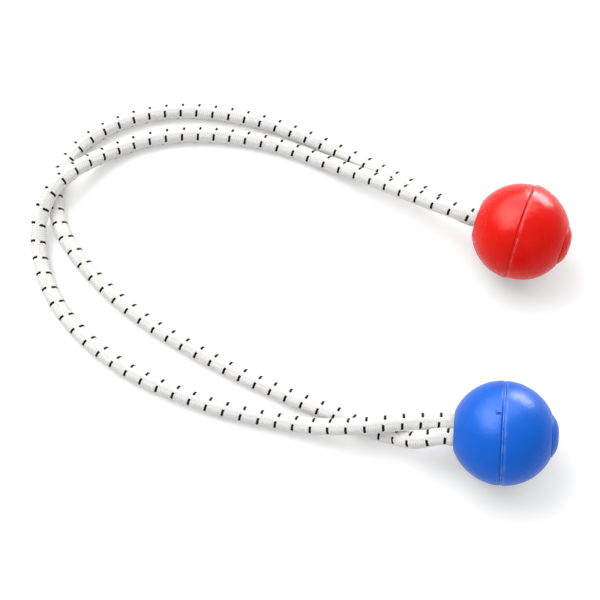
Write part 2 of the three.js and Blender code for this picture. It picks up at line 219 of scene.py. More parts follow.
def braid_tree():
    """Yarns wound both ways round a plain core, each passing over two and under two of the others."""
    tree = bpy.data.node_groups.new("braided_cord", "GeometryNodeTree")
    tree.interface.new_socket("Geometry", in_out="OUTPUT", socket_type="NodeSocketGeometry")
    for name, kind in (
        ("Line", "Geometry"), ("First Sample", "Int"), ("Samples per Turn", "Int"),
        ("Yarns Each Way", "Int"), ("Cord Radius", "Float"), ("Core Radius", "Float"),
        ("Yarn Width", "Float"), ("Yarn Thickness", "Float"), ("Yarn Snake", "Float"),
        ("Sheath Skew", "Float"), ("Tracer", "Int"), ("Tracer Lift", "Float"), ("Tracer Width", "Float"),
        ("Tracer Angle", "Float"), ("Twist per Turn", "Float"), ("Yarn", "Material"), ("Core", "Material"),
    ):
        tree.interface.new_socket(name, in_out="INPUT", socket_type=f"NodeSocket{kind}")
    given = tree.nodes.new("NodeGroupInput").outputs

    # At each point of the line: how many turns have been wound so far, and the two directions across it
    sample = maths(tree, "ADD", given["First Sample"], tree.nodes.new("GeometryNodeInputIndex").outputs[0])
    turn = maths(tree, "DIVIDE", sample, given["Samples per Turn"])
    tangent = tree.nodes.new("GeometryNodeInputTangent").outputs[0]
    lean = vectors(tree, "SCALE", tangent, scale=vectors(tree, "DOT_PRODUCT", tangent, (0, 0, 1)))
    up = vectors(tree, "NORMALIZE", vectors(tree, "SUBTRACT", (0, 0, 1), lean))
    across = vectors(tree, "CROSS_PRODUCT", tangent, up)
    kept = add_node(tree, "GeometryNodeCaptureAttribute", {"Geometry": given["Line"]}, domain="POINT")
    for kind, name, value in (("FLOAT", "turn", turn), ("VECTOR", "up", up), ("VECTOR", "across", across)):
        kept.capture_items.new(kind, name)
        tree.links.new(value, kept.inputs[name])
    turn, up, across = (kept.outputs[name] for name in ("turn", "up", "across"))

    # One copy of the line for each yarn's bobbin, every other one wound the other way
    carriers = maths(tree, "MULTIPLY", given["Yarns Each Way"], 2.0)
    copies = add_node(tree, "GeometryNodeDuplicateElements", {
        "Geometry": kept.outputs["Geometry"], "Amount": carriers}, domain="SPLINE")
    carrier = copies.outputs["Duplicate Index"]
    way = maths(tree, "SUBTRACT", 1.0, maths(tree, "MULTIPLY", 2.0, maths(tree, "MODULO", carrier, 2.0)))
    place = maths(tree, "FLOOR", maths(tree, "DIVIDE", carrier, 2.0))
    wound = maths(tree, "MULTIPLY", way, turn)
    share = maths(tree, "ADD", maths(tree, "DIVIDE", place, given["Yarns Each Way"]), wound)
    angle = maths(tree, "MULTIPLY", share, 2 * math.pi)
    angle = maths(tree, "ADD", angle, given["Tracer Angle"])
    angle = maths(tree, "ADD", angle, maths(tree, "MULTIPLY", turn, given["Twist per Turn"]))

    # Over two, under two: the yarn's height follows a wave that the turn and its place set
    crossing = maths(tree, "MULTIPLY", maths(tree, "MULTIPLY", wound, 2.0), given["Yarns Each Way"])
    crossing = maths(tree, "ADD", crossing, maths(tree, "SUBTRACT", maths(tree, "MULTIPLY", place, 2.0), 0.5))
    crossing = maths(tree, "MULTIPLY", crossing, math.pi / 2)
    wave = maths(tree, "MULTIPLY", way, maths(tree, "COSINE", crossing))
    is_tracer = maths(tree, "COMPARE", carrier, given["Tracer"], 0.5)
    wave = maths(tree, "ADD", wave, maths(tree, "MULTIPLY", is_tracer, given["Tracer Lift"]))
    level = maths(tree, "TANH", maths(tree, "MULTIPLY", wave, YARN_STEEPNESS))
    reach = maths(tree, "SUBTRACT", given["Cord Radius"], given["Yarn Thickness"])
    rise = maths(tree, "MULTIPLY", level, maths(tree, "MULTIPLY", given["Yarn Thickness"], 0.5))
    squeeze = tree.nodes.new("GeometryNodeInputRadius").outputs[0]
    reach = maths(tree, "MULTIPLY", maths(tree, "ADD", reach, rise), squeeze)
    out = vectors(tree, "ADD",
                  vectors(tree, "SCALE", up, scale=maths(tree, "COSINE", angle)),
                  vectors(tree, "SCALE", across, scale=maths(tree, "SINE", angle)))
    snake = maths(tree, "MULTIPLY", given["Yarn Snake"], -1.0)
    snake = maths(tree, "MULTIPLY", maths(tree, "SINE", crossing), snake)
    skew = maths(tree, "MULTIPLY", maths(tree, "SINE", angle), given["Sheath Skew"])
    dragged = vectors(tree, "SCALE", tangent, scale=maths(tree, "ADD", snake, skew))
    shift = vectors(tree, "ADD", vectors(tree, "SCALE", out, scale=reach), dragged)
    wound_yarns = add_node(tree, "GeometryNodeSetPosition", {
        "Geometry": copies.outputs["Geometry"], "Offset": shift})
    yarn_way = tree.nodes.new("GeometryNodeInputTangent").outputs[0]
    lean = vectors(tree, "SCALE", yarn_way, scale=vectors(tree, "DOT_PRODUCT", yarn_way, out))
    facing = vectors(tree, "NORMALIZE", vectors(tree, "SUBTRACT", out, lean))
    faced = add_node(tree, "GeometryNodeSetCurveNormal", {
        "Curve": wound_yarns.outputs["Geometry"], "Normal": facing}, mode="FREE")

    # A flat section, swept along every yarn, with what the yarn's material reads
    circle = add_node(tree, "GeometryNodeCurvePrimitiveCircle", {"Resolution": 6, "Radius": 0.5})
    position = tree.nodes.new("GeometryNodeInputPosition").outputs[0]
    edge = add_node(tree, "ShaderNodeSeparateXYZ", {0: position})
    section = add_node(tree, "GeometryNodeCaptureAttribute", {
        "Geometry": circle.outputs["Curve"]}, domain="POINT")
    section.capture_items.new("FLOAT", "edge")
    tree.links.new(edge.outputs["Y"], section.inputs["edge"])
    size = add_node(tree, "ShaderNodeCombineXYZ", {
        0: given["Yarn Thickness"], 1: given["Yarn Width"], 2: 1.0})
    flattened = add_node(tree, "GeometryNodeTransform", {
        "Geometry": section.outputs["Geometry"], "Scale": size.outputs[0]})
    widen = maths(tree, "SUBTRACT", maths(tree, "DIVIDE", given["Tracer Width"], given["Yarn Width"]), 1.0)
    scale = maths(tree, "ADD", 1.0, maths(tree, "MULTIPLY", is_tracer, widen))
    swept = add_node(tree, "GeometryNodeCurveToMesh", {
        "Curve": faced.outputs["Curve"], "Profile Curve": flattened.outputs["Geometry"], "Scale": scale,
        "Fill Caps": True})
    yarns = swept.outputs["Mesh"]
    for name, value in (("turns", turn), ("edge", section.outputs["edge"]), ("carrier", carrier)):
        yarns = add_node(tree, "GeometryNodeStoreNamedAttribute", {
            "Geometry": yarns, "Name": name, "Value": value}, data_type="FLOAT", domain="POINT").outputs[0]
    yarns = add_node(tree, "GeometryNodeSetMaterial", {
        "Geometry": yarns, "Material": given["Yarn"]}).outputs[0]

    # The core fills the sheath
    round_core = add_node(tree, "GeometryNodeCurvePrimitiveCircle", {
        "Resolution": 16, "Radius": given["Core Radius"]})
    core = add_node(tree, "GeometryNodeCurveToMesh", {
        "Curve": given["Line"], "Profile Curve": round_core.outputs["Curve"],
        "Fill Caps": True}).outputs["Mesh"]
    core = add_node(tree, "GeometryNodeSetMaterial", {"Geometry": core, "Material": given["Core"]}).outputs[0]
    both = add_node(tree, "GeometryNodeJoinGeometry", {0: core})
    tree.links.new(yarns, both.inputs[0])
    smooth = add_node(tree, "GeometryNodeSetShadeSmooth", {"Geometry": both.outputs[0], "Shade Smooth": True})
    real = add_node(tree, "GeometryNodeRealizeInstances", {0: smooth.outputs[0]})
    tree.links.new(real.outputs[0], tree.nodes.new("NodeGroupOutput").inputs[0])
    return tree


def grown(source, tree, values, name):
    """The plain mesh that a node tree makes of an object, as a new object. The source is removed."""
    modifier = source.modifiers.new("made", "NODES")
    modifier.node_group = tree
    for socket in tree.interface.items_tree:
        if socket.in_out == "INPUT" and socket.name in values:
            modifier[socket.identifier] = values[socket.name]
    bpy.context.view_layer.update()
    seen = source.evaluated_get(bpy.context.evaluated_depsgraph_get())
    made = bpy.data.objects.new(name, bpy.data.meshes.new_from_object(seen))
    made.data.name = name
    bpy.context.scene.collection.objects.link(made)
    bpy.data.objects.remove(source)
    return made


def principled(name):
    """A new material, its tree and its shader."""
    material = bpy.data.materials.new(name)
    material.use_nodes = True
    return material, material.node_tree, material.node_tree.nodes["Principled BSDF"]


def attribute(tree, name):
    return add_node(tree, "ShaderNodeAttribute", attribute_name=name).outputs["Fac"]


def own_place(tree):
    """Where a point lies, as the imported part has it."""
    return add_node(tree, "ShaderNodeTexCoord").outputs["Object"]


def grain(tree, way, scale, detail, roughness=0.5, output=0):
    """Noise, as a number or as a colour."""
    sockets = {"Vector": way, "Scale": scale, "Detail": detail, "Roughness": roughness}
    return add_node(tree, "ShaderNodeTexNoise", sockets).outputs[output]


def mixed(tree, share, first, second):
    """A colour between two."""
    return add_node(tree, "ShaderNodeMix", {0: share, 6: first, 7: second}, data_type="RGBA").outputs[2]


def bumped(tree, strength, distance, height):
    """The normal of a surface that a height raises."""
    sockets = {"Strength": strength, "Distance": distance, "Height": height}
    return add_node(tree, "ShaderNodeBump", sockets).outputs[0]


# White polyester yarn with one black tracer yarn among the sixteen. Each yarn is a flat bundle of filaments,
# with painted shade towards its edges between yarns, and a faint mottle where it has picked up dust.
TRACER, TRACER_LIFT, TRACER_WIDTH = 1, 0.66, 0.00088
YARN_WHITE = (0.95, 0.94, 0.918, 1)
YARN_SHADED = (0.64, 0.625, 0.6, 1)
YARN_BLACK, YARN_BLACK_WORN = (0.002, 0.002, 0.0025, 1), (0.006, 0.006, 0.007, 1)
YARN_SHINE = 0.12
FILAMENTS, FILAMENT_WAVES = 16, 6


def yarn_material():
    material, tree, shader = principled("braided_yarn")
    edge, turns, carrier = (attribute(tree, name) for name in ("edge", "turns", "carrier"))
    along = add_node(tree, "ShaderNodeCombineXYZ", {
        0: maths(tree, "MULTIPLY", edge, FILAMENTS), 1: maths(tree, "MULTIPLY", turns, FILAMENT_WAVES),
        2: carrier}).outputs[0]
    fibres = grain(tree, along, 1.0, 3, roughness=0.6)
    mottle = grain(tree, own_place(tree), 180, 4)
    # Painted shade: the yarn darkens towards its two edges, where it passes between its neighbours; fibres
    # and dust add their own tone.
    rim = maths(tree, "POWER", maths(tree, "MULTIPLY", maths(tree, "ABSOLUTE", edge), 2.2), 3)
    shade = maths(tree, "ADD", maths(tree, "MULTIPLY", rim, 0.55), maths(tree, "MULTIPLY", fibres, 0.22))
    shade = maths(tree, "ADD", shade, maths(tree, "MULTIPLY", mottle, 0.16))
    white = mixed(tree, maths(tree, "SUBTRACT", shade, 0.14), YARN_WHITE, YARN_SHADED)
    black = mixed(tree, fibres, YARN_BLACK, YARN_BLACK_WORN)
    is_tracer = maths(tree, "COMPARE", carrier, float(TRACER), 0.5)
    tree.links.new(mixed(tree, is_tracer, white, black), shader.inputs["Base Color"])
    rough = maths(tree, "ADD", 0.62, maths(tree, "MULTIPLY", fibres, 0.25))
    tree.links.new(rough, shader.inputs["Roughness"])
    tree.links.new(bumped(tree, 0.5, 0.00006, fibres), shader.inputs["Normal"])
    shader.inputs["Specular IOR Level"].default_value = YARN_SHINE
    return material


LATEX_CREAM, LATEX_DARK = (0.62, 0.54, 0.38, 1), (0.36, 0.28, 0.16, 1)


def core_material():
    """Natural latex, cream, with painted shade as darker lines between its strands."""
    material, tree, shader = principled("latex_core")
    mottle = grain(tree, own_place(tree), 900, 3)
    strands = add_node(tree, "ShaderNodeTexVoronoi", {"Vector": own_place(tree), "Scale": 1500})
    strands = strands.outputs["Distance"]
    # Painted shade: darker towards the border of each strand's cell, with the latex's own mottle.
    colour = mixed(tree, maths(tree, "MULTIPLY", strands, mottle), LATEX_CREAM, LATEX_DARK)
    tree.links.new(colour, shader.inputs["Base Color"])
    tree.links.new(maths(tree, "ADD", 0.5, maths(tree, "MULTIPLY", mottle, 0.25)), shader.inputs["Roughness"])
    tree.links.new(bumped(tree, 0.4, 0.00008, strands), shader.inputs["Normal"])
    return material


def sharpen_caps(mesh):
    """The flat cut faces at a piece's ends keep their own shading."""
    for face in mesh.polygons:
        if face.loop_total > 4:
            face.use_smooth = False
    sharp = mesh.attributes.new("sharp_edge", "BOOLEAN", "EDGE")
    ends = {key for face in mesh.polygons if face.loop_total > 4 for key in face.edge_keys}
    sharp.data.foreach_set("value", [edge.key in ends for edge in mesh.edges])


YARN_SKIN, LATEX = yarn_material(), core_material()
BRAID = braid_tree()
BLENDS = {
    "blue_arm": ("cord_bend", "blue_hold"),
    "bend": ("cord_bend", "red_arm"),
    "red_arm": ("red_arm", "red_hold"),
}

for strand_name, strand in STRANDS.items():
    line, along, free_length = strand_line(strand)
    # A strand is cut into pieces at whole samples of its tracer's turns, so that the yarns meet at each cut
    rings = strand["rings"]
    ring_turns = (np.arange(len(rings)) - 2) * RINGS_APART
    first_angle, last_angle = (math.radians(angle) for angle in strand["tracer_angles"])
    cuts = [cut * free_length for cut in strand["cuts"]]
    marks = [-HELD_LENGTH, 0, *cuts, free_length, free_length + HELD_LENGTH]
    samples = [round(turn * SAMPLES_PER_TURN) for turn in np.interp(marks, rings, ring_turns)]
    twist = (last_angle - first_angle) / np.interp(free_length, rings, ring_turns)
    names = ["blue_end", "blue_arm", "bend", "red_arm", "red_end"]
    for name, start, end in zip(names, samples[:-1], samples[1:]):
        turns = np.arange(start, end + 1) / SAMPLES_PER_TURN
        lengths = np.clip(np.interp(turns, ring_turns, rings), along[0], along[-1])
        places = np.array([np.interp(lengths, along, line[:, axis]) for axis in range(3)]).T
        centre = bpy.data.curves.new("centreline", "CURVE")
        centre.dimensions = "3D"
        spline = centre.splines.new("POLY")
        spline.points.add(len(places) - 1)
        spline.points.foreach_set("co", np.column_stack([places, np.ones(len(places))]).ravel())
        # The ferrule's squeeze, by the place along the ball's axis
        in_ball = -MOUTH_DEPTH - np.minimum(lengths, free_length - lengths)
        grip = np.interp(in_ball, SQUEEZE_PLACES, [1, SQUEEZE_SHARE, SQUEEZE_SHARE, 1])
        spline.points.foreach_set("radius", grip)
        source = bpy.data.objects.new("centreline", centre)
        bpy.context.scene.collection.objects.link(source)
        piece = grown(source, BRAID, {
            "First Sample": start, "Samples per Turn": SAMPLES_PER_TURN, "Yarns Each Way": YARNS_EACH_WAY,
            "Cord Radius": CORD_RADIUS, "Core Radius": CORE_RADIUS, "Yarn Width": YARN_WIDTH,
            "Yarn Thickness": YARN_THICKNESS, "Yarn Snake": YARN_SNAKE, "Sheath Skew": SHEATH_SKEW,
            "Tracer": TRACER, "Tracer Lift": TRACER_LIFT,
            "Tracer Width": TRACER_WIDTH, "Tracer Angle": first_angle, "Twist per Turn": twist,
            "Yarn": YARN_SKIN, "Core": LATEX}, f"{strand_name}_{name}_braid")
        sharpen_caps(piece.data)
        # The held ends ride with their ball; the other stretches stay as built
        if name not in BLENDS:
            colour = name.split("_")[0]
            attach(piece, f"{colour}_hold")
            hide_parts(f"{colour}_{strand_name}_sheath_end")
            continue
        if name == "bend":
            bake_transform(piece)
        else:
            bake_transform(piece)
        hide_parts(f"{strand_name}_{name}")


# Front shells: a half ball each, moulded in polypropylene, with a rounded mouth for the cords, a sleeve that
# takes the ferrule's pull on its shoulder, six ribs and a lip that centres the other half. The moulding gate
# leaves its mark beside the seam.
SHELL_WALL = 0.0022
HOLLOW_RADIUS = BALL_RADIUS - SHELL_WALL
SEAM = 0.00015
MOUTH_RADIUS = 0.00545
MOUTH_ROUNDING = 0.0003
WELL_RADIUS = 0.00625
SLEEVE_RADIUS = 0.00785
SHOULDER_DEPTH = 0.005
LIP_WALL, LIP_HEIGHT = 0.0009, 0.0015
SEAM_CLEARANCE = 0.0003
DIP_DEPTH, DIP_WIDTH = 0.0003, 0.00042
DIP_SHARES = {-1: 1.0, 1: 0.45}
BEAD_ROOT, BEAD_GAP, TUCK_SHARE = 0.00037, 0.00002, 0.7
# Half the width of the bead, how far it stays below the ball, and how far the rear half stands aside.
SEAMS = {
    "blue": {"bead": 0.00026, "low": 0.00002, "shift": (0, 0, 0)},
    "red": {"bead": 0.00012, "low": 0.0001, "shift": (0, 0.00032, 0.00014)},
}
BALL_SIDES = 192
MOULDED_EDGE = math.radians(32)
RIB_COUNT, RIB_THICKNESS, RIB_SETBACK = 6, 0.0012, 0.001
GATE_ANGLES = {"blue": 89, "red": -40}
GATE_STROKES = (
    {"along": -0.0014, "turn": 0, "size": (0.00105, 0.00045, 0.0005)},
    {"along": -0.0021, "turn": -2.6, "size": (0.0004, 0.00032, 0.0007)},
)
UNEVENNESS, UNEVEN_SCALE = 0.00006, 140
SEEDS = {"blue": {"front": 1, "rear": 7, "bead": 3}, "red": {"front": 4, "rear": 11, "bead": 8}}
# Depths at which the painted shade in the grooves starts and is full, how far from the seam it reaches, and
# how wide the painted highlight on the grooves' outer rims runs.
GROOVE_SHADE_FROM, GROOVE_SHADE_FULL, GROOVE_SHADE_REACH = 0.00009, 0.00026, 0.0026
EDGE_HIGHLIGHT_WIDTH = 0.0005
PLASTIC_COLOURS = {"blue": (0.007, 0.145, 0.755, 1), "red": (0.91, 0.008, 0.003, 1)}
PLASTIC_ROUGHNESS = {"blue": 0.31, "red": 0.25}
PLASTIC_IOR, PLASTIC_SHINE = 1.49, 0.12
DUST = (0.8, 0.8, 0.82, 1)
BOUNCE_GREY = 0.75


def arc(centre, radius, start, end, steps):
    """Points of a circle's arc round (radius, along), by the angle from the equator."""
    angles = np.linspace(start, end, steps + 1)
    return [(centre[0] + radius * math.cos(a), centre[1] + radius * math.sin(a)) for a in angles]


def round_outline(radius, steps):
    """The outline of a whole ball, from pole to pole."""
    return [(0, -radius), *arc((0, 0), radius, -math.pi / 2, math.pi / 2, steps)[1:-1], (0, radius)]


def seam_dip(ball, side, steps=8):
    """The shell's outer edge beside the weld bead: it rounds inwards from the ball's surface."""
    points = []
    bead = SEAMS[ball]["bead"]
    for step in range(steps + 1):
        share = step / steps
        along = bead + DIP_WIDTH * (1 - share)
        fall = DIP_DEPTH * DIP_SHARES[side] * (0.5 - 0.5 * math.cos(math.pi * share))
        points.append((math.sqrt(BALL_RADIUS**2 - along**2) - fall, side * along))
    root = BALL_RADIUS - DIP_DEPTH - BEAD_ROOT
    return [*points, (root, side * bead), (root, side * SEAM * TUCK_SHARE)]


def turned(name, outline, sides=BALL_SIDES):
    """A solid turned about a ball's axis, from (radius, along) points. A point on the axis is a pole."""
    corners, rings, faces = [], [], []
    for radius, along in outline:
        count = sides if radius else 1
        rings.append([len(corners) + k % count for k in range(sides)])
        for k in range(count):
            angle = 2 * math.pi * k / sides
            corners.append((along, radius * math.cos(angle), radius * math.sin(angle)))
    following = rings[1:] if outline[0][0] == 0 else [*rings[1:], rings[0]]
    for ring, other in zip(rings, following):
        for k in range(sides):
            n = (k + 1) % sides
            face = dict.fromkeys([ring[k], ring[n], other[n], other[k]])
            faces.append(list(face))
    mesh = bpy.data.meshes.new(name)
    mesh.from_pydata(corners, [], faces)
    obj = bpy.data.objects.new(name, mesh)
    bpy.context.scene.collection.objects.link(obj)
    face_out(mesh)
    return obj


def face_out(mesh):
    """Turns the faces of a closed mesh outwards."""
    work = bmesh.new()
    work.from_mesh(mesh)
    bmesh.ops.recalc_face_normals(work, faces=work.faces)
    work.to_mesh(mesh)
    work.free()


def uneven(mesh, seed):
    """Moulding shrinks a ball a little unevenly: its outer skin sinks by some hundredths of a millimetre."""
    for vertex in mesh.vertices:
        reach = vertex.co.length
        if reach > BALL_RADIUS - DIP_DEPTH / 2:
            sink = noise.noise(vertex.co * UNEVEN_SCALE + Vector((seed, 0, 0)))
            vertex.co *= 1 - UNEVENNESS * (0.5 + 0.5 * sink) / reach


def boxes_tree():
    """A ring of equal boxes about the X axis, for ribs and slots."""
    tree = bpy.data.node_groups.new("ring_of_boxes", "GeometryNodeTree")
    tree.interface.new_socket("Geometry", in_out="INPUT", socket_type="NodeSocketGeometry")
    tree.interface.new_socket("Geometry", in_out="OUTPUT", socket_type="NodeSocketGeometry")
    for name, kind in (("Count", "Int"), ("First Share", "Float"), ("Size", "Vector"), ("Centre", "Vector"),
                       ("Plastic", "Material")):
        tree.interface.new_socket(name, in_out="INPUT", socket_type=f"NodeSocket{kind}")
    given = tree.nodes.new("NodeGroupInput").outputs
    box = add_node(tree, "GeometryNodeMeshCube", {"Size": given["Size"]}).outputs["Mesh"]
    box = add_node(tree, "GeometryNodeTransform", {
        "Geometry": box, "Translation": given["Centre"]}).outputs[0]
    points = add_node(tree, "GeometryNodePoints", {"Count": given["Count"]}).outputs[0]
    share = maths(tree, "ADD", tree.nodes.new("GeometryNodeInputIndex").outputs[0], given["First Share"])
    angle = maths(tree, "DIVIDE", maths(tree, "MULTIPLY", share, 2 * math.pi), given["Count"])
    turn = add_node(tree, "ShaderNodeCombineXYZ", {0: angle}).outputs[0]
    ring = add_node(tree, "GeometryNodeInstanceOnPoints", {
        "Points": points, "Instance": box, "Rotation": turn})
    real = add_node(tree, "GeometryNodeRealizeInstances", {0: ring.outputs[0]}).outputs[0]
    painted = add_node(tree, "GeometryNodeSetMaterial", {"Geometry": real, "Material": given["Plastic"]})
    tree.links.new(painted.outputs[0], tree.nodes.new("NodeGroupOutput").inputs[0])
    return tree


def ring_of_boxes(name, count, first_share, box_size, box_centre, plastic):
    """The ring as a plain mesh."""
    source = bpy.data.objects.new("boxes", bpy.data.meshes.new("boxes"))
    bpy.context.scene.collection.objects.link(source)
    return grown(source, BOXES, {"Count": count, "First Share": first_share, "Size": box_size,
                                 "Centre": box_centre, "Plastic": plastic}, name)


def combine(body, tool, operation):
    """Adds or cuts a closed tool, which is then removed."""
    modifier = body.modifiers.new("joined", "BOOLEAN")
    modifier.operation, modifier.solver, modifier.object = operation, "MANIFOLD", tool
    bpy.context.view_layer.update()
    seen = body.evaluated_get(bpy.context.evaluated_depsgraph_get())
    mesh = bpy.data.meshes.new_from_object(seen)
    body.modifiers.clear()
    body.data = mesh
    mesh.name = body.name
    bpy.data.objects.remove(tool)


def ribbed(shell, side, start, plastic):
    """Adds the ribs between the sleeve and the outer wall."""
    inner = (WELL_RADIUS + SLEEVE_RADIUS) / 2
    length, height = BALL_RADIUS - start, BALL_RADIUS - inner
    ribs = ring_of_boxes("ribs", RIB_COUNT, 0, (length, height, RIB_THICKNESS),
                         (side * (start + length / 2), inner + height / 2, 0), plastic)
    reach = BALL_RADIUS - SHELL_WALL / 2
    combine(ribs, turned("ball_inside", round_outline(reach, 48), sides=96), "INTERSECT")
    combine(shell, ribs, "UNION")


def mark_seam_shade_and_highlight(mesh, ball):
    """By the weld: painted shade in the grooves and the gate's mark, by depth, and a painted highlight on the
    bead and the rims.
    """
    painted_groove_shade, painted_edge_highlight = (mesh.attributes.new(name, "FLOAT", "POINT") for name in ("painted_groove_shade", "painted_edge_highlight"))
    bead = SEAMS[ball]["bead"]
    for vertex in mesh.vertices:
        along, depth = vertex.co.x, BALL_RADIUS - vertex.co.length
        if abs(along) < bead - BEAD_GAP / 2:
            painted_edge_highlight.data[vertex.index].value = min(max(2 - 2 * depth / DIP_DEPTH, 0), 1)
        elif abs(depth) < GROOVE_SHADE_FROM:
            painted_edge_highlight.data[vertex.index].value = max(1 - abs(along - bead - DIP_WIDTH) / EDGE_HIGHLIGHT_WIDTH, 0)
        elif abs(along) < GROOVE_SHADE_REACH and depth < 2 * DIP_DEPTH + BEAD_ROOT:
            painted_groove_shade.data[vertex.index].value = min(max((depth - GROOVE_SHADE_FROM) / (GROOVE_SHADE_FULL - GROOVE_SHADE_FROM), 0), 1)


def moulded(piece, ball, body):
    """Places a piece made about the X axis in its ball, smooth but for its moulded edges, in plastic."""
    piece.data.transform(ball_place(BALLS[ball]))
    piece.data.materials.clear()
    piece.data.materials.append(PLASTICS[ball])
    piece.data.polygons.foreach_set("use_smooth", [True] * len(piece.data.polygons))
    piece.data.set_sharp_from_angle(angle=MOULDED_EDGE)
    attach(piece, body)


def moulded_surface_tree():
    """Used moulded plastic: uneven pigment, orange peel, scuffs, dust, and painted shade and a painted
    highlight by the weld.
    """
    tree = bpy.data.node_groups.new("moulded_surface", "ShaderNodeTree")
    for name, kind in (("Colour", "Color"), ("Roughness", "Float")):
        tree.interface.new_socket(name, in_out="INPUT", socket_type=f"NodeSocket{kind}")
    for name, kind in (("Colour", "Color"), ("Roughness", "Float"), ("Normal", "Vector")):
        tree.interface.new_socket(name, in_out="OUTPUT", socket_type=f"NodeSocket{kind}")
    given = tree.nodes.new("NodeGroupInput").outputs

    def ramp(value, low, high, least=0.0, most=1.0):
        sockets = {0: value, 1: low, 2: high, 3: least, 4: most}
        return add_node(tree, "ShaderNodeMapRange", sockets).outputs[0]

    def pigment(**change):
        return add_node(tree, "ShaderNodeHueSaturation", {**change, "Color": given["Colour"]}).outputs[0]

    # The patterns: broad and fine noise, streaks along a bent grain, scuffs in them, and specks
    place = own_place(tree)
    broad, fine = grain(tree, place, 110, 3), grain(tree, place, 900, 4)
    bend = vectors(tree, "SCALE", grain(tree, place, 160, 2, output="Color"), scale=0.004)
    bent = vectors(tree, "ADD", place, bend)
    streaks_way = add_node(tree, "ShaderNodeMapping", {
        "Vector": bent, "Rotation": (0.4, 0.5, 0.9), "Scale": (1500, 420, 420)}).outputs[0]
    streaks = grain(tree, streaks_way, 1.0, 4)
    scuffs = maths(tree, "MULTIPLY", ramp(streaks, 0.56, 0.74), ramp(broad, 0.45, 0.6))
    dots = add_node(tree, "ShaderNodeTexVoronoi", {"Vector": place, "Scale": 520}).outputs["Distance"]
    specks = ramp(dots, 0.1, 0.05)
    # The colour: pigment, then dust, then a painted highlight on the bead and the groove rims, and painted
    # shade in the grooves and the gate's mark
    dusty = maths(tree, "ADD", maths(tree, "MULTIPLY", scuffs, 0.008), maths(tree, "MULTIPLY", specks, 0.02))
    colour = mixed(tree, dusty, mixed(tree, broad, pigment(Value=0.9), given["Colour"]), DUST)
    patches = grain(tree, place, 520, 3)
    # Painted highlight: the bead's crest and the grooves' outer rims paler, where these edges would catch the
    # light.
    painted_edge_highlight = maths(tree, "MULTIPLY", attribute(tree, "painted_edge_highlight"), ramp(patches, 0.38, 0.62, 0.05, 0.4))
    colour = mixed(tree, painted_edge_highlight, colour, pigment(Saturation=0.75, Value=1.3))
    # Painted shade: the grooves and the gate's mark darker the deeper they lie, in uneven patches.
    painted_groove_shade = maths(tree, "MULTIPLY", attribute(tree, "painted_groove_shade"), ramp(patches, 0.36, 0.6, 0.1, 0.75))
    colour = mixed(tree, painted_groove_shade, colour, pigment(Value=0.4))
    # The gloss, and the lumps of the moulded skin
    rough = maths(tree, "ADD", given["Roughness"], maths(tree, "MULTIPLY", scuffs, 0.12))
    rough = maths(tree, "ADD", rough, maths(tree, "MULTIPLY", maths(tree, "SUBTRACT", fine, 0.5), 0.12))
    height = maths(tree, "ADD", maths(tree, "MULTIPLY", fine, 0.35), maths(tree, "MULTIPLY", streaks, 0.15))
    height = maths(tree, "ADD", height, grain(tree, bent, 420, 4, roughness=0.6))
    out = tree.nodes.new("NodeGroupOutput").inputs
    for name, value in (
        ("Colour", colour), ("Roughness", rough), ("Normal", bumped(tree, 0.6, 0.0002, height)),
    ):
        tree.links.new(value, out[name])
    return tree


def plastic_material(ball):
    material, tree, shader = principled(f"{ball}_moulded_plastic")
    surface = tree.nodes.new("ShaderNodeGroup")
    surface.node_tree = MOULDED_SURFACE
    surface.inputs["Colour"].default_value = PLASTIC_COLOURS[ball]
    surface.inputs["Roughness"].default_value = PLASTIC_ROUGHNESS[ball]
    bounced = add_node(tree, "ShaderNodeLightPath").outputs["Is Diffuse Ray"]
    grey = add_node(tree, "ShaderNodeRGBToBW", {0: surface.outputs["Colour"]}).outputs[0]
    colour = mixed(tree, maths(tree, "MULTIPLY", bounced, BOUNCE_GREY), surface.outputs["Colour"], grey)
    for value, socket in ((colour, "Base Color"), (surface.outputs["Roughness"], "Roughness"),
                          (surface.outputs["Normal"], "Normal")):
        tree.links.new(value, shader.inputs[socket])
    shader.inputs["IOR"].default_value = PLASTIC_IOR
    shader.inputs["Specular IOR Level"].default_value = PLASTIC_SHINE
    return material


MOULDED_SURFACE = moulded_surface_tree()
PLASTICS = {ball: plastic_material(ball) for ball in BALLS}
BOXES = boxes_tree()
SLEEVE_ROOT = math.acos(SLEEVE_RADIUS / HOLLOW_RADIUS)
BARE_ANGLES = {ball: math.asin((SEAMS[ball]["bead"] + DIP_WIDTH) / BALL_RADIUS) for ball in BALLS}

